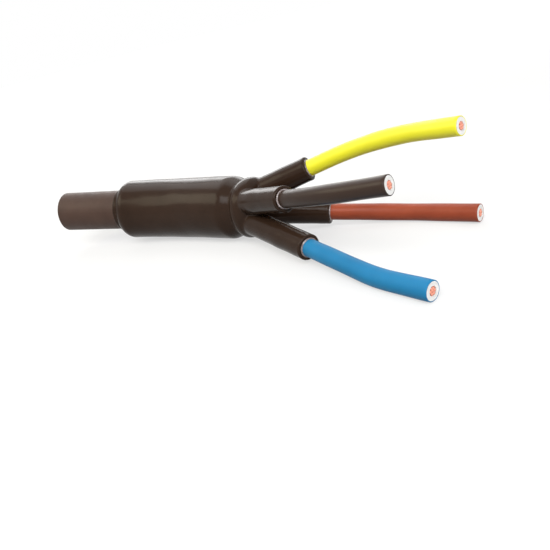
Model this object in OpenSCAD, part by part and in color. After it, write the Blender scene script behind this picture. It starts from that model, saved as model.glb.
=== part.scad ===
// Four-core cable termination: a shrunk breakout boot seals the cut end of a
// cable sheath and sends each insulated core out through its own finger.
// Millimetres. +X runs along the boot towards the cores, +Z is up, and the
// termination lies on the boot and on the brown and blue cores.

/* [Cable] */
// Outside diameter of the cable sheath
cable_d = 25.8; // [25.4:0.1:27]
// Inside diameter of the cable sheath
sheath_bore_d = 23; // [22.8:0.1:23.4]
// Straight cable from the boot's bend to the cut end
cable_straight = 56; // [40:1:120]
// Distance from the palm back to the trimmed end of the sheath
sheath_trim = 12; // [9:0.5:16]
// Depth to which the sheath is abraded under the boot
abrasion = 0.3; // [0.25:0.05:0.5]

/* [Cores] */
// Outside diameter of an insulated core
core_d = 9.4; // [9:0.1:9.5]
// Diameter of the white inner insulation under the coloured skin
inner_d = 8.4; // [7.4:0.1:8.6]
// Bore of the insulation, over the conductor
conductor_bore_d = 4.4; // [4.3:0.05:5]
// Diameter of one conductor strand
strand_d = 1.4; // [1.3:0.05:1.45]
// Distance from the cable's axis to each core's axis
lay_radius = 6.7; // [6.65:0.05:6.8]
// Radius of the bend with which a core leaves the palm
splay_radius = 24; // [20:1:30]
// Radius of the second, easier bend
return_radius = 120; // [90:5:160]
// Straight length at each core's cut end
core_end = 20; // [12:1:40]

/* [Yellow core] */
// Angle between the core and the boot's axis
yellow_splay = 22; // [14:0.5:26]
// Direction of the splay, from the front side up towards the top
yellow_side = 130; // [120:1:150]
// Straight run from the splay to the second bend
yellow_reach = 49.5; // [45:0.5:80]
// Angle of the second bend
yellow_return = 28.5; // [5:0.5:35]
// Turn of the second bend out of the plane of the first
yellow_turn = -28; // [-40:1:40]
// Finger length along the core, from the palm to the mouth
yellow_finger = 48; // [40:0.5:54]

/* [Black core] */
// Angle between the core and the boot's axis
black_splay = 24; // [14:0.5:26]
// Direction of the splay, from the front side up towards the top
black_side = 26; // [20:1:60]
// Straight run from the splay to the second bend
black_reach = 53; // [50:0.5:80]
// Angle of the second bend
black_return = 19; // [5:0.5:30]
// Turn of the second bend out of the plane of the first
black_turn = 18; // [-40:1:40]
// Finger length along the core, from the palm to the mouth
black_finger = 56.5; // [40:0.5:60]

/* [Brown core] */
// Angle between the core and the boot's axis
brown_splay = 16; // [12:0.5:18]
// Direction of the splay, from the front side up towards the top
brown_side = 203; // [196:1:212]
// Straight run from the splay to the second bend
brown_reach = 67; // [55:0.5:90]
// Angle of the second bend
brown_return = 21; // [5:0.5:24]
// Turn of the second bend out of the plane of the first
brown_turn = 2; // [-10:1:10]
// Finger length along the core, from the palm to the mouth
brown_finger = 54; // [40:0.5:58]

/* [Blue core] */
// Angle between the core and the boot's axis
blue_splay = 23; // [16:0.5:24]
// Direction of the splay, from the front side up towards the top
blue_side = 347.5; // [346:0.5:352]
// Straight run from the splay to the second bend
blue_reach = 99.5; // [70:0.5:110]
// Angle of the second bend
blue_return = 9; // [5:0.5:12]
// Turn of the second bend out of the plane of the first
blue_turn = 24; // [0:1:40]
// Finger length along the core, from the palm to the mouth
blue_finger = 69.5; // [40:0.5:72]

/* [Boot] */
// Outside diameter of the boot's body
boot_d = 38; // [36:0.5:40]
// Wall thickness of the body
boot_wall = 3.2; // [2.5:0.1:4]
// Straight part of the body behind the palm
body_straight = 30; // [26:1:40]
// Radius of the bend that the cable sets in the body
body_bend_radius = 160; // [140:5:220]
// Angle of that bend
body_bend = 18; // [10:0.5:20]
// Direction of that bend, from the front side up towards the top
body_bend_side = 17; // [0:1:30]
// Length of the rounded tail, from the bend to the lip
tail_length = 12.7; // [11:0.1:16]
// Thickness of the tail's lip on the sheath
lip_wall = 1.2; // [0.8:0.1:1.6]
// Radius to which the body narrows at the neck
neck_r = 16.2; // [15.6:0.1:16.6]
// Distance from the cores' splay forward to the neck
neck_ahead = 6; // [5:0.5:7]
// Slope of the shoulder that narrows the body towards the neck
shoulder_angle = 20; // [16:1:24]
// Rounding between the body and its shoulder
shoulder_round = 10; // [6:1:14]
// Radius of the domed palm from which the fingers grow
palm_r = 18.1; // [17.6:0.1:18.4]
// Rounding of the palm towards the neck and towards the fingers
palm_round = 7; // [6.5:0.1:7.5]
// Distance from the neck forward to the palm's widest ring
palm_crest = 4; // [3.5:0.1:4.5]

/* [Fingers] */
// Outside radius of a finger where it leaves the palm
finger_root_r = 7.5; // [7.2:0.1:8]
// Outside radius of a finger at its mouth
finger_mouth_r = 6.9; // [6.5:0.1:7.2]
// Thickness of the adhesive film between a finger and its core
film = 0.3; // [0.2:0.05:0.4]
// Radius of the adhesive bead squeezed out at a mouth
bead_r = 0.6; // [0.5:0.1:1.2]

/* [Hidden] */
$fn = 64;
// Bends stand this much proud of straights, so that each joint closes
lap = 0.02;
// Length by which a straight runs into its neighbours
tuck = 0.3;
boot_r = boot_d / 2;
cavity_r = boot_r - boot_wall;
cable_r = cable_d / 2;
// The sheath is abraded to this radius, and the boot's lip grips it there
grip_r = cable_r - abrasion;
core_r = core_d / 2;
bore_r = core_r + film;
// The lip grips the sheath over this length
lip_grip = 2;
// Rounding of the tail, and the full-size length in front of it
tail_round = 7;
tail_full = 3;
// Length in front of the tail over which the cavity keeps its full size
cavity_full = 2;
// Cavity length between the trimmed sheath and the solid palm
palm_back = 5;
throat_r = lay_radius + bore_r;
// Depth to which a finger's root runs back into the palm from the end of its splay
root_depth = 8;
// Conical bands that make up the shoulder's rounding
shoulder_steps = 5;
// Chamfer of a finger's mouth, and the parallel length behind it
mouth_lip = 0.6;
mouth_parallel = 4;
// Where a finger's taper eases, as a share of its straight run, and its extra radius there
ease_at = 0.5;
ease_r = 0.25;
// Strands press into each other by this much
strand_press = 0.04;
// Cuts run past the end of what they cut by this much
over = 1;
// Where the part's own origin lies, under the middle of its box
place = [-1.3, 14.5, boot_r];

// Each core: name, colour, place in the lay, splay, side, reach, return, turn, finger
CORES = [
    ["yellow", "gold", 135, yellow_splay, yellow_side, yellow_reach, yellow_return,
     yellow_turn, yellow_finger],
    ["black", "dimgray", 45, black_splay, black_side, black_reach, black_return,
     black_turn, black_finger],
    ["brown", "sienna", 225, brown_splay, brown_side, brown_reach, brown_return,
     brown_turn, brown_finger],
    ["blue", "steelblue", 315, blue_splay, blue_side, blue_reach, blue_return,
     blue_turn, blue_finger]
];
PIECES = ["core_skin", "core_insulation", "core_conductor", "finger_sealant"];

function lay_angle(c) = c[2];
function splay(c) = c[3];
function side(c) = 180 - c[4];
function reach(c) = c[5];
function return_bend(c) = c[6];
function turn(c) = 180 + c[7];
function splay_length(c) = PI * splay_radius * splay(c) / 180;
function finger_straight(c) = c[8] - splay_length(c);

// Stands the part on the floor with its origin under the middle
module placed() {
    translate(place) children();
}

// Carries a flat section straight ahead, tucked into both neighbours
module straight(length, tuck_in = tuck, tuck_out = tuck) {
    $proud = 0;
    translate([0, 0, -tuck_in]) linear_extrude(length + tuck_in + tuck_out) children();
}

// Carries a flat section round a bend towards +X
module bend(r, angle) {
    $proud = lap;
    translate([r, 0, 0]) rotate([90, 0, 180]) rotate_extrude(angle = angle)
        translate([r, 0]) mirror([1, 0]) children();
}

// Places its children at the far end of such a bend
module past_bend(r, angle) {
    translate([r, 0, 0]) rotate([0, angle, 0]) translate([-r, 0, 0]) children();
}

// Frame that looks ahead from the palm along a core's place in the lay
module ahead(c) {
    rotate([90, 0, 90])
        translate([-lay_radius * cos(lay_angle(c)), lay_radius * sin(lay_angle(c)), 0])
            rotate([0, 0, side(c)]) children();
}

// Frame that looks back from the palm along the cable's axis
module behind() {
    rotate([90, 0, -90]) children();
}

// Frame at the start of a finger's straight run
module finger_frame(c) {
    ahead(c) past_bend(splay_radius, splay(c)) children();
}

// Frame at the start of the straight cable behind the body's bend
module tail_frame() {
    behind() translate([0, 0, body_straight]) rotate([0, 0, body_bend_side])
        past_bend(body_bend_radius, body_bend) children();
}

// A core's run from the palm to its cut end
module front_run(c) {
    ahead(c) bend(splay_radius, splay(c)) rotate(-side(c)) children();
    finger_frame(c) {
        straight(reach(c)) rotate(-side(c)) children();
        translate([0, 0, reach(c)]) rotate([0, 0, turn(c)]) {
            bend(return_radius, return_bend(c)) rotate(-side(c) - turn(c)) children();
            past_bend(return_radius, return_bend(c))
                straight(core_end, tuck, 0) rotate(-side(c) - turn(c)) children();
        }
    }
}

// The run from a distance behind the palm to the cable's cut end
module back_run(start, tail = cable_straight, tail_tuck = 0) {
    behind() translate([0, 0, start]) straight(body_straight - start) children();
    behind() translate([0, 0, body_straight]) rotate([0, 0, body_bend_side])
        bend(body_bend_radius, body_bend) rotate(-body_bend_side) children();
    tail_frame() straight(tail, tuck, tail_tuck) rotate(-body_bend_side) children();
}

module in_lay(c) {
    translate([lay_radius * cos(lay_angle(c)), lay_radius * sin(lay_angle(c))]) children();
}

module disc(r) {
    circle(r + $proud);
}

// Six strands laid round a seventh and pressed together, with the gaps at the middle closed
module strands() {
    pitch = strand_d - strand_press;
    circle(pitch - strand_press + $proud);
    for (i = [0:5]) rotate(60 * i) translate([pitch, 0]) circle(strand_d / 2 + $proud);
}

// Solid round bar along a core's whole length
module core_bar(c, r) {
    front_run(c) disc(r);
    back_run(0) in_lay(c) disc(r);
}

// Solid round bar along a core inside the cable only
module core_bar_behind(c, r, start) {
    back_run(start) in_lay(c) disc(r);
}

// The passage through the palm in which a core lies in mastic
module palm_passage(c) {
    behind() translate([0, 0, -tuck]) linear_extrude(sheath_trim + tuck)
        in_lay(c) circle(bore_r);
    ahead(c) bend(splay_radius, splay(c)) disc(bore_r);
}

// Outer form of the body: front shoulder, straight, bend and rounded tail
module body_form() {
    behind() rotate_extrude() body_front();
    behind() translate([0, 0, body_straight]) rotate([0, 0, body_bend_side])
        bend(body_bend_radius, body_bend) disc(boot_r);
    tail_frame() rotate_extrude() tail_outline();
}

// Half outline of the body's front: domed palm, neck, rounded shoulder and straight body
module body_front() {
    crest = -neck_ahead - palm_crest;
    translate([0, crest - palm_round]) square([palm_r - palm_round, palm_round - crest]);
    translate([palm_r - palm_round, crest]) circle(palm_round);
    cone_r = boot_r - shoulder_round * (1 - cos(shoulder_angle));
    cone_length = (cone_r - neck_r) / tan(shoulder_angle);
    shoulder_end = cone_length - neck_ahead + shoulder_round * sin(shoulder_angle);
    shoulder = [for (i = [0:shoulder_steps])
        let (a = shoulder_angle * (1 - i / shoulder_steps)) [
            boot_r - shoulder_round * (1 - cos(a)),
            shoulder_end - shoulder_round * sin(a)
        ]];
    polygon(concat(
        [[0, -neck_ahead], [neck_r, -neck_ahead]],
        shoulder,
        [[boot_r, body_straight + tuck], [0, body_straight + tuck]]
    ));
}

// Half outline of the rounded tail that closes on the sheath
module tail_outline() {
    lip_r = cable_r + lip_wall;
    intersection() {
        translate([0, -tuck]) square([boot_r, tail_length + tuck]);
        union() {
            translate([0, -tuck]) square([lip_r, tail_length + tuck]);
            translate([0, -tuck]) square([boot_r - tail_round, tail_round + tuck]);
            translate([0, -tuck]) square([boot_r, tail_full + tuck]);
            translate([boot_r - tail_round, tail_full]) circle(tail_round);
        }
    }
}

// Outer form of one finger: its root runs into the palm and its mouth has a lip
module finger_form(c) {
    length = finger_straight(c);
    finger_frame(c) rotate_extrude() polygon([
        [0, -root_depth],
        [finger_root_r, -root_depth],
        [finger_root_r, 0],
        [finger_mouth_r + ease_r, length * ease_at],
        [finger_mouth_r, length - mouth_parallel],
        [finger_mouth_r, length - mouth_lip],
        [finger_mouth_r - mouth_lip, length],
        [0, length]
    ]);
}

// Hollow of the boot, from the lip to the solid palm
module cavity_form() {
    behind() rotate_extrude() polygon([
        [0, palm_back],
        [throat_r, palm_back],
        [cavity_r, sheath_trim],
        [cavity_r, body_straight + tuck],
        [0, body_straight + tuck]
    ]);
    behind() translate([0, 0, body_straight]) rotate([0, 0, body_bend_side])
        bend(body_bend_radius, body_bend) disc(cavity_r);
    tail_frame() rotate_extrude() polygon([
        [0, -tuck],
        [cavity_r, -tuck],
        [cavity_r, cavity_full],
        [grip_r, tail_length - lip_grip],
        [0, tail_length - lip_grip]
    ]);
}

// Outside of the sheath: abraded under the boot and full size beyond the lip
module sheath_form() {
    back_run(sheath_trim, tail_length, tuck) disc(grip_r);
    tail_frame() translate([0, 0, tail_length])
        linear_extrude(cable_straight - tail_length) circle(cable_r);
}

module breakout_boot() {
    color("#2b2724") difference() {
        union() {
            body_form();
            for (c = CORES) finger_form(c);
        }
        cavity_form();
        for (c = CORES) {
            palm_passage(c);
            finger_frame(c) straight(finger_straight(c) + over, tuck, 0) disc(bore_r);
        }
        tail_frame() linear_extrude(tail_length + over) circle(grip_r);
    }
}

// Mastic between the boot, the sheath and the cores' crotch
module boot_sealant() {
    color("#4a3a26") difference() {
        union() {
            cavity_form();
            for (c = CORES) palm_passage(c);
        }
        sheath_form();
        for (c = CORES) core_bar(c, core_r);
    }
}

module cable_sheath() {
    color("#26231f") difference() {
        sheath_form();
        back_run(sheath_trim - over, cable_straight, over) disc(sheath_bore_d / 2);
    }
}

// Soft bedding that fills the spaces between the laid-up cores
module core_filler() {
    color("#8a8378") difference() {
        back_run(sheath_trim) disc(sheath_bore_d / 2);
        for (c = CORES) core_bar_behind(c, core_r, 0);
    }
}

module core_skin(c) {
    color(c[1]) difference() {
        core_bar(c, core_r);
        core_bar(c, inner_d / 2);
    }
}

module core_insulation(c) {
    color("ivory") difference() {
        core_bar(c, inner_d / 2);
        core_bar(c, conductor_bore_d / 2);
    }
}

module core_conductor(c) {
    color("#b87345") {
        front_run(c) strands();
        back_run(0) in_lay(c) strands();
    }
}

// Adhesive film in a finger, with the bead squeezed out at the mouth
module finger_sealant(c) {
    color("#6b4f2a") difference() {
        union() {
            finger_frame(c) straight(finger_straight(c), 0, 0) disc(bore_r);
            finger_frame(c) translate([0, 0, finger_straight(c)]) intersection() {
                rotate_extrude() translate([core_r, 0]) circle(bead_r);
                cylinder(r = bore_r + bead_r, h = bead_r);
            }
        }
        core_bar(c, core_r);
    }
}

placed() breakout_boot();
placed() boot_sealant();
placed() cable_sheath();
placed() core_filler();
for (c = CORES) {
    placed() core_skin(c);
    placed() core_insulation(c);
    placed() core_conductor(c);
    placed() finger_sealant(c);
}
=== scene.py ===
import math
from collections import namedtuple
import bpy
import numpy as np
from mathutils import Matrix, Vector


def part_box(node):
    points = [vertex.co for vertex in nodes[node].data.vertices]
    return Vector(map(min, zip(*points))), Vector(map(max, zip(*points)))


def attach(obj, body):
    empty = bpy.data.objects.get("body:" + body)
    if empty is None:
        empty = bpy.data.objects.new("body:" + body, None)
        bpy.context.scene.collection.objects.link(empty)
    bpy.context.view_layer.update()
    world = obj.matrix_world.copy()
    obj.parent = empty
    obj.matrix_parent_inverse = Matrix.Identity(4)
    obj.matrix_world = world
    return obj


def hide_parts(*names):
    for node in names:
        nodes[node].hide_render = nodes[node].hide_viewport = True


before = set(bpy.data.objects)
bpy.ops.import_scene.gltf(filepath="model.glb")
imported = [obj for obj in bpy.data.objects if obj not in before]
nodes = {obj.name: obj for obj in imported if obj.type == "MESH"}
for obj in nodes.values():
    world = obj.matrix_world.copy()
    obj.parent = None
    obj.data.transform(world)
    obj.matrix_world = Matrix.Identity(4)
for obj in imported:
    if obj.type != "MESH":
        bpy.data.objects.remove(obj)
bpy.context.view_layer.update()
scene = bpy.context.scene

# Camera at the photograph's viewing angle. The part lies on the floor, so the camera rolls.
CAMERA_AT = (0.21893, -0.23608, 0.12098)
AZIMUTH, ELEVATION, ROLL = (math.radians(a) for a in (39.463, 24.392, -14.297))
LENS, SENSOR, NEAREST = 37.57, 36, 0.01
look = Vector((-math.sin(AZIMUTH) * math.cos(ELEVATION),
               math.cos(AZIMUTH) * math.cos(ELEVATION), -math.sin(ELEVATION)))
level = Vector((math.cos(AZIMUTH), math.sin(AZIMUTH), 0))
upright = level.cross(look)
right = math.cos(ROLL) * level + math.sin(ROLL) * upright
up = -math.sin(ROLL) * level + math.cos(ROLL) * upright
camera = bpy.data.objects.new("camera", bpy.data.cameras.new("camera"))
camera.data.lens = LENS
camera.data.sensor_width = SENSOR
camera.data.clip_start = NEAREST
camera.matrix_world = Matrix.Translation(CAMERA_AT) @ Matrix(
    (right, up, -look)).transposed().to_4x4()
scene.collection.objects.link(camera)
scene.camera = camera

# Lines of the part in millimetres, from the palm, as the solids have them
MM = 1000
PLACE = np.array([-1.3, 14.5, 19.0])
X = np.array([1.0, 0, 0])
LAY_R, SPLAY_R, RETURN_R, CORE_END = 6.7, 24.0, 120.0, 20.0
BODY, BEND_R, BEND, BEND_SIDE = 30.0, 160.0, math.radians(18), 17.0
TAIL, CABLE = 12.7, 56.0
BEND_END = BODY + BEND_R * BEND
Core = namedtuple("Core", "lay splay side reach back turn finger")
CORES = {
    "yellow": Core(135, 22, 130, 49.5, 28.5, -28, 48),
    "black": Core(45, 24, 26, 53, 19, 18, 56.5),
    "brown": Core(225, 16, 203, 67, 21, 2, 54),
    "blue": Core(315, 23, 347.5, 99.5, 9, 24, 69.5),
}
# Points on each stretch of a core's line, and the spacing on its straight reach
CABLE_POINTS, BEND_POINTS, BODY_POINTS = 22, 26, 16
SPLAY_POINTS, RETURN_POINTS, END_POINTS = 10, 24, 12
REACH_STEP = 1.8


def spoke(degrees):
    """Unit vector across the boot, from the front side up towards the top."""
    a = math.radians(degrees)
    return np.array([0, -math.cos(a), math.sin(a)])


BEND_TO = spoke(BEND_SIDE)
BEND_ACROSS = np.cross(X, BEND_TO)


def turned(v, axis, degrees):
    return np.array(Matrix.Rotation(math.radians(degrees), 3, Vector(axis)) @ Vector(v))


def cable_point(s, offset):
    """Point and forward direction at s behind the palm, at an offset across the cable."""
    a = min(max((s - BODY) / BEND_R, 0), BEND)
    ahead = X * math.cos(a) - BEND_TO * math.sin(a)
    side = BEND_TO * math.cos(a) + X * math.sin(a)
    p = -X * min(s, BODY)
    p = p - X * BEND_R * math.sin(a) + BEND_TO * BEND_R * (1 - math.cos(a))
    p = p - ahead * max(s - BEND_END, 0)
    return p + side * offset.dot(BEND_TO) + BEND_ACROSS * offset.dot(BEND_ACROSS), ahead


def core_line(core):
    """Points and directions along a core, from the cable's cut end to its own."""
    start = LAY_R * spoke(core.lay)
    far = BEND_END + CABLE
    stations = np.concatenate([np.linspace(far, BEND_END, CABLE_POINTS)[:-1],
                               np.linspace(BEND_END, BODY, BEND_POINTS)[:-1],
                               np.linspace(BODY, 0, BODY_POINTS)[:-1]])
    line = [cable_point(s, start) for s in stations]
    n, splay = spoke(core.side), math.radians(core.splay)
    for a in np.linspace(0, splay, SPLAY_POINTS):
        line.append((start + SPLAY_R * (math.sin(a) * X + (1 - math.cos(a)) * n),
                     math.cos(a) * X + math.sin(a) * n))
    p, t = line[-1]
    for d in np.linspace(0, core.reach, int(core.reach / REACH_STEP))[1:]:
        line.append((p + t * d, t))
    p = line[-1][0]
    m = turned(-(math.cos(splay) * n - math.sin(splay) * X), t, core.turn)
    for a in np.linspace(0, math.radians(core.back), RETURN_POINTS)[1:]:
        line.append((p + RETURN_R * (math.sin(a) * t + (1 - math.cos(a)) * m),
                     math.cos(a) * t + math.sin(a) * m))
    p, t = line[-1]
    for d in np.linspace(0, CORE_END, END_POINTS)[1:]:
        line.append((p + t * d, t))
    return np.array([q for q, _ in line]), np.array([d for _, d in line])


def frames(directions):
    """Two vectors across each direction, carried along the line without twist."""
    first = np.cross(directions[0], (0, 0, 1.0))
    across = [first / np.linalg.norm(first)]
    for d in directions[1:]:
        v = across[-1] - d * across[-1].dot(d)
        across.append(v / np.linalg.norm(v))
    across = np.array(across)
    return across, np.cross(directions, across)


def make(name, verts_mm, faces, material, replaced=(), normals=None):
    """A mesh piece from points in millimetres, on the part's one body."""
    verts = (np.asarray(verts_mm, float) + PLACE) / MM
    faces = np.asarray(faces, np.int32)
    starts = np.arange(0, faces.size, faces.shape[1], dtype=np.int32)
    mesh = bpy.data.meshes.new(name)
    mesh.vertices.add(len(verts))
    mesh.vertices.foreach_set("co", verts.astype(np.float32).ravel())
    mesh.loops.add(faces.size)
    mesh.loops.foreach_set("vertex_index", faces.ravel())
    mesh.polygons.add(len(faces))
    mesh.polygons.foreach_set("loop_start", starts)
    mesh.polygons.foreach_set("use_smooth", np.full(len(faces), True))
    mesh.update(calc_edges=True)
    if normals is not None:
        mesh.normals_split_custom_set_from_vertices(normals)
    piece = bpy.data.objects.new(name, mesh)
    scene.collection.objects.link(piece)
    mesh.materials.append(material)
    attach(piece, "root")
    if replaced:
        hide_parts(*replaced)


def wheel(count):
    """Angles of evenly spaced points on a circle."""
    return np.arange(count) * 2 * math.pi / count


def circle(angles, across, over):
    """Unit circle of points in the plane of two vectors."""
    return np.cos(angles)[:, None] * across + np.sin(angles)[:, None] * over


def ring_faces(rings, count, closed=False):
    """Quads between successive rings of points."""
    steps = np.arange(rings if closed else rings - 1)
    i, j = np.meshgrid(steps, np.arange(count), indexing="ij")
    k, nxt = (i + 1) % rings, (j + 1) % count
    corners = [i * count + j, i * count + nxt, k * count + nxt, k * count + j]
    return np.stack(corners, -1).reshape(-1, 4)


# Materials. Scales are per metre and depths in metres.


def nodes_of(name):
    m = bpy.data.materials.new(name)
    m.use_nodes = True
    return m, m.node_tree.nodes, m.node_tree.links, m.node_tree.nodes["Principled BSDF"]


def noise(tree_nodes, links, place, scale, detail=4.0, rough=0.55):
    n = tree_nodes.new("ShaderNodeTexNoise")
    n.inputs["Scale"].default_value = scale
    n.inputs["Detail"].default_value = detail
    n.inputs["Roughness"].default_value = rough
    links.new(place, n.inputs["Vector"])
    return n.outputs["Fac"]


def ramp(tree_nodes, links, value, stops):
    r = tree_nodes.new("ShaderNodeValToRGB")
    for e, (at, colour) in zip(r.color_ramp.elements, stops):
        e.position = at
        e.color = (*colour, 1)
    links.new(value, r.inputs["Fac"])
    return r.outputs["Color"]


def map_range(tree_nodes, links, value, from_min, from_max, to_min, to_max):
    r = tree_nodes.new("ShaderNodeMapRange")
    r.inputs["From Min"].default_value = from_min
    r.inputs["From Max"].default_value = from_max
    r.inputs["To Min"].default_value = to_min
    r.inputs["To Max"].default_value = to_max
    links.new(value, r.inputs["Value"])
    return r


def spread(tree_nodes, links, value, low, high):
    """The middle part of a noise, spread between two values."""
    return map_range(tree_nodes, links, value, 0.3, 0.7, low, high).outputs["Result"]


def stretched(tree_nodes, links, place, scale):
    m = tree_nodes.new("ShaderNodeMapping")
    m.inputs["Scale"].default_value = scale
    links.new(place, m.inputs["Vector"])
    return m.outputs["Vector"]


def bumps(tree_nodes, links, shader, heights):
    """A chain of bump nodes, each height with its own depth."""
    normal = None
    for height, depth in heights:
        b = tree_nodes.new("ShaderNodeBump")
        b.inputs["Strength"].default_value = 1.0
        b.inputs["Distance"].default_value = depth
        links.new(height, b.inputs["Height"])
        if normal:
            links.new(normal, b.inputs["Normal"])
        normal = b.outputs["Normal"]
    links.new(normal, shader.inputs["Normal"])


GLOSS_PATCH = 2.7  # gloss patches are finer than colour patches by this


def surface(name, dark, light, rough, specular, patch, grain, grain_depth=2e-5,
            streak=None, streak_depth=2e-5):
    """Plastic or rubber: mottled colour, uneven gloss, fine grain and drawn streaks."""
    m, tree, links, shader = nodes_of(name)
    place = tree.new("ShaderNodeTexCoord").outputs["Object"]
    patches = noise(tree, links, place, patch)
    colour = ramp(tree, links, patches, [(0.32, dark), (0.68, light)])
    links.new(colour, shader.inputs["Base Color"])
    fine = noise(tree, links, place, grain, detail=3.0)
    gloss = noise(tree, links, place, patch * GLOSS_PATCH)
    links.new(spread(tree, links, gloss, *rough), shader.inputs["Roughness"])
    shader.inputs["Specular IOR Level"].default_value = specular
    heights = [(fine, grain_depth)]
    if streak:
        along = stretched(tree, links, place, streak)
        drawn = noise(tree, links, along, 1.0, detail=5.0, rough=0.6)
        heights.append((drawn, streak_depth))
    bumps(tree, links, shader, heights)
    return m


boot_rubber = surface("boot_rubber", (0.025, 0.0135, 0.0083), (0.033, 0.0182, 0.0118),
                      (0.16, 0.23), 0.09, patch=45, grain=500, grain_depth=5e-6,
                      streak=(10, 160, 160))
sheath_black = surface("sheath_black", (0.046, 0.0245, 0.0175), (0.060, 0.033, 0.024),
                       (0.45, 0.58), 0.22, patch=70, grain=1400, grain_depth=3e-5,
                       streak=(12, 500, 500), streak_depth=3e-5)
bedding = surface("bedding", (0.17, 0.16, 0.145), (0.26, 0.25, 0.225),
                  (0.7, 0.9), 0.25, patch=300, grain=1800, grain_depth=1e-4)
mastic = surface("mastic", (0.045, 0.032, 0.022), (0.075, 0.055, 0.035),
                 (0.35, 0.55), 0.5, patch=200, grain=900, grain_depth=6e-5)
# Adhesive at the finger mouths: mottled dark brown, with pale patches that are painted
# glints, light caught on the mouth rims painted into the colour
adhesive = surface("adhesive", (0.10, 0.075, 0.07), (0.40, 0.34, 0.34),
                   (0.15, 0.28), 0.6, patch=260, grain=900, grain_depth=5e-5)
insulation = surface("insulation", (0.83, 0.82, 0.80), (0.90, 0.90, 0.89),
                     (0.42, 0.6), 0.45, patch=420, grain=2600, grain_depth=1.2e-4)
# Skin: dark and light colour, range of roughness, specular level, subsurface share
SKINS = {
    "yellow": ((0.83, 0.775, 0.018), (0.90, 0.845, 0.030), (0.36, 0.48), 0.45, 0.25),
    "black": ((0.027, 0.0150, 0.0105), (0.037, 0.0215, 0.0150), (0.28, 0.4), 0.18, 0),
    "brown": ((0.25, 0.048, 0.021), (0.33, 0.066, 0.030), (0.34, 0.46), 0.18, 0.15),
    "blue": ((0.012, 0.165, 0.355), (0.018, 0.200, 0.415), (0.42, 0.54), 0.14, 0.3),
}
SCATTER_DEPTH = 0.003
skins = {}
for name, (dark, light, rough, specular, share) in SKINS.items():
    skins[name] = surface(name + "_skin", dark, light, rough, specular,
                          patch=38, grain=1300, streak=(20, 600, 600))
    if share:
        shader = skins[name].node_tree.nodes["Principled BSDF"]
        shader.inputs["Subsurface Weight"].default_value = share
        shader.inputs["Subsurface Radius"].default_value = (1, 1, 1)
        shader.inputs["Subsurface Scale"].default_value = SCATTER_DEPTH

copper, tree, links, shader = nodes_of("copper")
place = tree.new("ShaderNodeTexCoord").outputs["Object"]
tarnish = ramp(tree, links, noise(tree, links, place, 900),
               [(0.3, (0.70, 0.28, 0.19)), (0.7, (0.84, 0.39, 0.29))])
links.new(tarnish, shader.inputs["Base Color"])
gloss = spread(tree, links, noise(tree, links, place, 2500), 0.35, 0.6)
links.new(gloss, shader.inputs["Roughness"])
shader.inputs["Metallic"].default_value = 0.85
sawn = noise(tree, links, stretched(tree, links, place, (900, 900, 6000)), 1.0)
bumps(tree, links, shader, [(sawn, 8e-5)])

# The boot as one smooth moulding: a field of signed distances in millimetres, meshed at
# its zero level. Its groove at the neck is a little deeper than in the solid.
LIP = BEND_END + TAIL
NECK_R, NECK_AHEAD, BOOT_R = 15.7, 6.0, 18.9
SHOULDER = math.radians(23)
PALM_R, PALM_ROUND, PALM_CREST = 18.1, 7.0, 4.0
TAIL_FULL, TAIL_ROUND, LIP_R = 3.0, 7.0, 13.8
NECK_LOBE, PALM_LOBE = 0.7, 0.5
SHOULDER_BLEND, PALM_BLEND, TAIL_BLEND, LIP_BLEND = 0.9, 0.7, 3.6, 1.0
CROTCH_BLEND, ROOT_BLEND, MOUTH_BLEND = 1.2, 1.0, 1.1
# Hollow for the cable, by place behind the palm and radius, and bores for the cores
INNER = [(4, 11.7), (12, 15.6), (20, 15.6), (BEND_END, 15.6), (BEND_END + 3, 15.4),
         (LIP - 2, 12.6), (LIP + 2, 12.6)]
INNER_FROM = 5
BORE_R, BORE_BEHIND, FLARE, FLARE_LENGTH = 5.0, 12, 0.25, 1.2
GRID, GRID_MARGIN = 0.75, 2.2
SLOPE_STEP = 0.06


def along_body(p):
    """Distance behind the palm, distance from the body's axis, and angle round it."""
    a = -(p[:, 0] + BODY)
    b, c = p @ BEND_TO, p @ BEND_ACROSS
    turn = np.clip(np.arctan2(a, BEND_R - b), 0, BEND)
    ca, sa = np.cos(turn), np.sin(turn)
    inward = b - BEND_R * (1 - ca)
    back = a - BEND_R * sa
    lateral = inward * ca - back * sa
    s = BODY + BEND_R * turn + (back * ca + inward * sa)
    return s, np.hypot(lateral, c), np.arctan2(c, lateral)


def along_finger(p, core):
    """Distance along a core from the palm, and distance from the core's axis."""
    n, limit = spoke(core.side), math.radians(core.splay)
    q = p - LAY_R * spoke(core.lay)
    a, b, c = q[:, 0], q @ n, q @ np.cross(X, n)
    turn = np.clip(np.arctan2(a, SPLAY_R - b), 0, limit)
    ca, sa = np.cos(turn), np.sin(turn)
    inward = b - SPLAY_R * (1 - ca)
    front = a - SPLAY_R * sa
    return SPLAY_R * turn + front * ca + inward * sa, np.hypot(inward * ca - front * sa, c)


def smooth_min(a, b, k):
    """The smaller of two values, blended where they differ by less than k."""
    h = np.clip(0.5 + 0.5 * (b - a) / k, 0, 1)
    return b * (1 - h) + a * h - k * h * (1 - h)


def fade(x, length):
    """From 0 to 1 over a length."""
    return np.clip(x / length, 0, 1)


def profile(s, knots):
    """Smooth curve through (place, radius) knots."""
    at, r = np.array(knots, float).T
    i = np.clip(np.searchsorted(at, s) - 1, 0, len(at) - 2)
    slope = np.gradient(r, at)
    h = at[i + 1] - at[i]
    t = np.clip((s - at[i]) / h, 0, 1)
    return ((1 + 2 * t) * (1 - t) ** 2 * r[i] + t * (1 - t) ** 2 * h * slope[i]
            + t * t * (3 - 2 * t) * r[i + 1] + t * t * (t - 1) * h * slope[i + 1])


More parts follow.
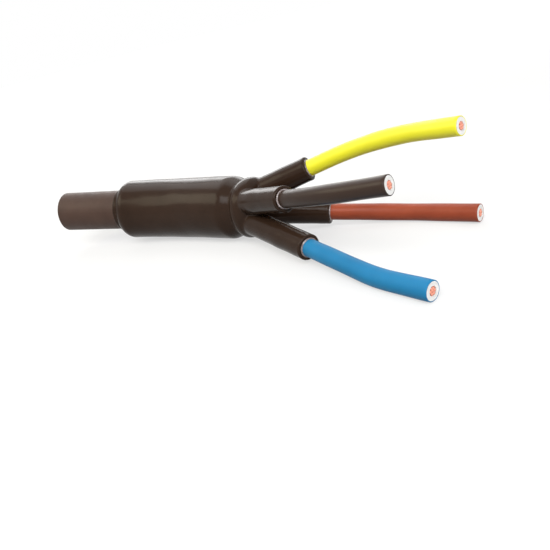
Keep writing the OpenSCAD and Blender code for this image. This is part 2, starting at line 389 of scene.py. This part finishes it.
def finger_field(p, core, phase):
    """Distance from a finger and from the bore through it."""
    length = core.finger
    t, r = along_finger(p, core)
    outer = profile(t, [(-8, 7.55), (8, 7.5), (18, 7.35), (length * 0.6, 7.12),
                        (length - 6, 6.95), (length - 2, 6.9), (length, 7.0)])
    wave = 0.06 * np.sin(t / 4.1 + phase) + 0.04 * np.sin(t / 2.3 + 2.1 * phase)
    finger = r - outer - wave * fade(t - 14, 8) * fade(length - t, 4)
    finger = np.maximum(finger, -t)
    finger = -smooth_min(-finger, length - t, MOUTH_BLEND)
    flare = FLARE * fade(t - length + FLARE_LENGTH, FLARE_LENGTH) ** 2
    return finger, np.maximum(r - BORE_R - flare, -BORE_BEHIND - t)


def boot_field(p):
    """Distance from the boot's surface, negative inside the rubber."""
    s, rho, phi = along_body(p)
    lobes = 0.5 - 0.5 * np.cos(4 * (phi - math.radians(BEND_SIDE - 45)))
    ripple = (0.05 * np.sin(s / 7.3 + 1.4 * np.sin(phi))
              + 0.035 * np.sin(s / 3.9 + 2 * phi + 0.8))
    cone = NECK_R - NECK_LOBE * lobes + (s + NECK_AHEAD) * math.tan(SHOULDER)
    past = np.clip(s - BEND_END - TAIL_FULL, 0, TAIL_ROUND)
    tail = BOOT_R - TAIL_ROUND + np.sqrt(TAIL_ROUND ** 2 - past ** 2)
    body = np.where(s < BODY, smooth_min(cone, BOOT_R, SHOULDER_BLEND),
                    -smooth_min(-tail, -LIP_R, TAIL_BLEND))
    rippled = ripple * (fade(s - 4, 10) * fade(LIP - s, 8))
    d = np.maximum(rho - body - rippled, -NECK_AHEAD - s)
    d = -smooth_min(-d, LIP - s, LIP_BLEND)
    crown = PALM_R - PALM_LOBE * lobes - PALM_ROUND
    palm = np.hypot(np.maximum(rho - crown, 0), s + NECK_AHEAD + PALM_CREST) - PALM_ROUND
    d = smooth_min(d, palm, PALM_BLEND)
    fingers, bores = None, None
    for i, core in enumerate(CORES.values()):
        finger, bore = finger_field(p, core, i)
        fingers = finger if fingers is None else smooth_min(fingers, finger, CROTCH_BLEND)
        bores = bore if bores is None else np.minimum(bores, bore)
    d = smooth_min(d, fingers, ROOT_BLEND)
    hollow = np.maximum(rho - profile(s, INNER), INNER_FROM - s)
    return np.maximum(d, -np.minimum(hollow, bores))


def surface_net(field, low, high, step):
    """Quads at the zero level of a field, with one point in each cell that it crosses."""
    axes = [np.arange(a, b + step, step) for a, b in zip(low, high)]
    shape = tuple(len(a) for a in axes)
    grid = np.stack(np.meshgrid(*axes, indexing="ij"), -1).reshape(-1, 3)
    value = np.concatenate([field(part) for part in np.array_split(grid, 12)]).reshape(shape)
    inside = value < 0
    cells = tuple(n - 1 for n in shape)
    total, count = np.zeros(cells + (3,)), np.zeros(cells)
    steps = [(i, j, k) for i in (0, 1) for j in (0, 1) for k in (0, 1)]
    corner = [tuple(slice(i, i + n) for i, n in zip(ijk, cells)) for ijk in steps]
    offset = np.array(steps, float)
    for a in range(8):
        for b in range(a + 1, 8):
            if np.abs(offset[a] - offset[b]).sum() != 1:
                continue
            va, vb = value[corner[a]], value[corner[b]]
            crossed = (va < 0) != (vb < 0)
            share = np.where(crossed, va / np.where(crossed, va - vb, 1), 0)
            at = offset[a] + share[..., None] * (offset[b] - offset[a])
            total += crossed[..., None] * at
            count += crossed
    used = count > 0
    index = np.full(cells, -1)
    index[used] = np.arange(used.sum())
    base = np.stack(np.meshgrid(*[np.arange(n) for n in cells], indexing="ij"), -1)[used]
    points = np.array(low) + step * (base + total[used] / count[used][:, None])
    faces = []
    for axis in range(3):
        u, v = (axis + 1) % 3, (axis + 2) % 3
        first = [slice(1, -1)] * 3
        first[axis] = slice(0, -1)
        second = list(first)
        second[axis] = slice(1, None)
        a, b = inside[tuple(first)], inside[tuple(second)]
        at = np.argwhere(a != b) + np.array([0 if i == axis else 1 for i in range(3)])
        outward = a[a != b]
        eu, ev = np.eye(3, dtype=int)[u], np.eye(3, dtype=int)[v]
        quad = np.stack([index[tuple((at - m).T)] for m in (eu + ev, ev, 0 * eu, eu)], 1)
        faces.append(np.where(outward[:, None], quad, quad[:, ::-1]))
    return points, np.concatenate(faces)


def slope_of(field, points):
    return np.stack([(field(points + e) - field(points - e)) / (2 * SLOPE_STEP)
                     for e in SLOPE_STEP * np.eye(3)], 1)


def settled(points, field, rounds=3, furthest=0.3, flattest=0.2):
    """Points moved onto the zero level along the field's slope, and the normals there."""
    for _ in range(rounds):
        slope = slope_of(field, points)
        step = field(points) / np.maximum((slope ** 2).sum(1), flattest)
        points = points - slope * np.clip(step, -furthest, furthest)[:, None]
    normals = slope_of(field, points)
    return points, normals / np.linalg.norm(normals, axis=1)[:, None]


low = np.array(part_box("breakout_boot")[0]) * MM - PLACE - GRID_MARGIN
high = np.array(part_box("breakout_boot")[1]) * MM - PLACE + GRID_MARGIN
points, faces = surface_net(boot_field, low, high, GRID)
points, normals = settled(points, boot_field)
make("boot", points, faces, boot_rubber, ["breakout_boot"], normals)

# Core skins as drawn tubes, with the soft unevenness of stripped and bent insulation
SKIN_SIDES, SKIN_R, RIM_R, RIM, SKIN_BORE_R = 48, 4.7, 4.55, 0.18, 4.2
UNEVEN, UNEVEN_FADE = 75, 20
BORE_EVERY = 3
around = wheel(SKIN_SIDES)


def skin_wave(run, phase):
    """Unevenness of a skin round each ring, only on the core's free end."""
    free = fade(run - run[-1] + UNEVEN, UNEVEN_FADE)[:, None]
    return free * (0.05 * np.sin(run[:, None] / 5.1 + phase)
                   + 0.04 * np.sin(run[:, None] / 9.7 + 2 * around + phase))


for i, (name, core) in enumerate(CORES.items()):
    line, ahead = core_line(core)
    across, over = frames(ahead)
    run = np.concatenate([[0], np.cumsum(np.linalg.norm(np.diff(line, axis=0), axis=1))])
    wave = skin_wave(run, i)

    def ring(k, radius, shift=0.0):
        spread_r = np.broadcast_to(radius, SKIN_SIDES)[:, None]
        return line[k] + ahead[k] * shift + spread_r * circle(around, across[k], over[k])

    rings = [ring(0, RIM_R), ring(0, SKIN_R, RIM)]
    rings += [ring(k, SKIN_R + wave[k]) for k in range(1, len(line) - 1)]
    rings += [ring(-1, SKIN_R, -RIM), ring(-1, RIM_R), ring(-1, SKIN_BORE_R)]
    rings += [ring(k, SKIN_BORE_R) for k in reversed(range(0, len(line), BORE_EVERY))]
    make(name + "_skin", np.concatenate(rings),
         ring_faces(len(rings), SKIN_SIDES, True)[:, ::-1],
         skins[name], [name + "_core_skin"])

# The seven strand ends that stand a little proud of each cut conductor
STRAND_R, STRAND_PITCH, STRAND_SIDES, STRAND_TIP = 0.69, 1.36, 14, 0.26
STRAND_RIDGE = [(STRAND_R, -0.05), (STRAND_R, 0.08), (0.6, 0.16), (0.42, 0.22), (0.2, 0.25)]
RIM_WITHIN, RIM_REACH = 0.05, 3
turns = wheel(STRAND_SIDES)
quads = ring_faces(len(STRAND_RIDGE), STRAND_SIDES)
tip = len(STRAND_RIDGE) * STRAND_SIDES
last = tip - STRAND_SIDES + np.arange(STRAND_SIDES)
fan = np.stack([last, np.roll(last, -1), np.full(STRAND_SIDES, tip)], 1)
dome = np.concatenate([quads[:, [0, 1, 2]], quads[:, [0, 2, 3]], fan])


def lobe_phase(rim, across, over):
    """Angle of the first of the six outer strands, from the conductor's own rim."""
    a, b = rim @ across, rim @ over
    reach, angle = np.hypot(a, b), np.arctan2(b, a)
    return np.angle(((reach - reach.mean()) * np.exp(6j * angle)).sum()) / 6


for name, core in CORES.items():
    line, ahead = core_line(core)
    across, over = frames(ahead)
    solid = nodes[name + "_core_conductor"]
    rim = np.array([solid.matrix_world @ v.co for v in solid.data.vertices]) * MM - PLACE
    points, faces = [], []
    for k, sign in ((0, -1), (-1, 1)):
        near = rim[np.abs((rim - line[k]) @ ahead[k]) < RIM_WITHIN] - line[k]
        near = near[np.linalg.norm(near, axis=1) < RIM_REACH]
        phase = lobe_phase(near, across[k], over[k])
        centres = [line[k] + STRAND_PITCH * (math.cos(a) * across[k] + math.sin(a) * over[k])
                   for a in (phase + i * math.pi / 3 for i in range(6))] + [line[k]]
        for centre in centres:
            shape = [centre + sign * ahead[k] * z + r * circle(turns, across[k], over[k])
                     for r, z in STRAND_RIDGE]
            faces.append((dome if sign > 0 else dome[:, ::-1]) + len(points) * (tip + 1))
            points.append(np.concatenate(shape + [[centre + sign * ahead[k] * STRAND_TIP]]))
    make(name + "_strand_ends", np.concatenate(points), np.concatenate(faces), copper)

# Carried-over solids
finish = {"cable_sheath": sheath_black, "core_filler": bedding, "boot_sealant": mastic}
for name in CORES:
    finish[name + "_core_insulation"] = insulation
    finish[name + "_core_conductor"] = copper
    finish[name + "_finger_sealant"] = adhesive
for name, material in finish.items():
    slots = nodes[name].data.materials
    slots.clear()
    slots.append(material)

# Floor, light and room
FLOOR, FLOOR_DROP, FLOOR_GREY = 6, 0.00004, 0.32
# The floor's own glow, by distance from the part: near and far place, near and far strength
GLOW = (0.4, 2.2, 0.58, 1.0)
# The room's light on the part, by direction: away from and towards its bright side
ROOM_BRIGHT_SIDE, ROOM = (-0.5, 0.65, 0.55), (-0.3, 0.6, 0.14, 0.4)


def math_node(tree_nodes, links, operation, first, second):
    node = tree_nodes.new("ShaderNodeMath")
    node.operation = operation
    links.new(first, node.inputs[0])
    links.new(second, node.inputs[1])
    return node.outputs[0]


def seen_rays(tree_nodes, links):
    """1 for rays from the camera and for those that mirrors and glass send on."""
    rays = tree_nodes.new("ShaderNodeLightPath").outputs
    value = rays["Is Camera Ray"]
    for other in ("Is Glossy Ray", "Is Transmission Ray"):
        value = math_node(tree_nodes, links, "MAXIMUM", value, rays[other])
    return value


floor_mesh = bpy.data.meshes.new("floor")
floor_mesh.from_pydata([(-FLOOR, -FLOOR, 0), (FLOOR, -FLOOR, 0), (FLOOR, FLOOR, 0),
                        (-FLOOR, FLOOR, 0)], [], [(0, 1, 2, 3)])
floor = bpy.data.objects.new("floor", floor_mesh)
floor.location.z = -FLOOR_DROP
scene.collection.objects.link(floor)
paper, tree, links, shader = nodes_of("paper")
shader.inputs["Base Color"].default_value = (FLOOR_GREY, FLOOR_GREY, FLOOR_GREY, 1)
shader.inputs["Roughness"].default_value = 0.9
shader.inputs["Specular IOR Level"].default_value = 0.1
away = tree.new("ShaderNodeVectorMath")
away.operation = "LENGTH"
links.new(tree.new("ShaderNodeTexCoord").outputs["Object"], away.inputs[0])
glow = map_range(tree, links, away.outputs["Value"], *GLOW)
lift = math_node(tree, links, "MULTIPLY", seen_rays(tree, links), glow.outputs["Result"])
shader.inputs["Emission Color"].default_value = (1, 1, 1, 1)
links.new(lift, shader.inputs["Emission Strength"])
floor_mesh.materials.append(paper)

world = bpy.data.worlds.new("studio")
world.use_nodes = True
scene.world = world
tree, links = world.node_tree.nodes, world.node_tree.links
toward = tree.new("ShaderNodeVectorMath")
toward.operation = "DOT_PRODUCT"
toward.inputs[1].default_value = Vector(ROOM_BRIGHT_SIDE).normalized()
links.new(tree.new("ShaderNodeTexCoord").outputs["Generated"], toward.inputs[0])
fall = map_range(tree, links, toward.outputs["Value"], *ROOM)
fall.interpolation_type = "SMOOTHSTEP"
white = math_node(tree, links, "MAXIMUM", seen_rays(tree, links), fall.outputs["Result"])
links.new(white, tree["Background"].inputs["Strength"])
tree["Background"].inputs["Color"].default_value = (1, 1, 1, 1)


def softbox(name, at, to, size, power, tint=(1, 1, 1)):
    lamp = bpy.data.lights.new(name, "AREA")
    lamp.color = tint
    lamp.shape = "RECTANGLE"
    lamp.size, lamp.size_y = size
    lamp.energy = power
    box = bpy.data.objects.new(name, lamp)
    box.location = at
    box.rotation_euler = (Vector(to) - Vector(at)).to_track_quat("-Z", "Y").to_euler()
    scene.collection.objects.link(box)


softbox("top_box", (-0.6, 0.55, 1.1), (0, 0, 0), (1.2, 0.8), 5.5)
softbox("back_box", (-1.13, 1.21, 0.6), (0, 0, 0.02), (1.2, 0.55), 8.5)
softbox("front_box", (0.4, -0.85, 1.0), (0, 0, 0), (0.9, 0.7), 16)
softbox("side_box", (1.3, -0.45, 0.7), (0.1, 0, 0), (0.9, 0.7), 9)
softbox("left_box", (-0.75, -0.62, 0.78), (0, 0, 0.02), (0.8, 0.5), 5, (1, 0.93, 0.7))
scene.view_settings.view_transform = "Standard"
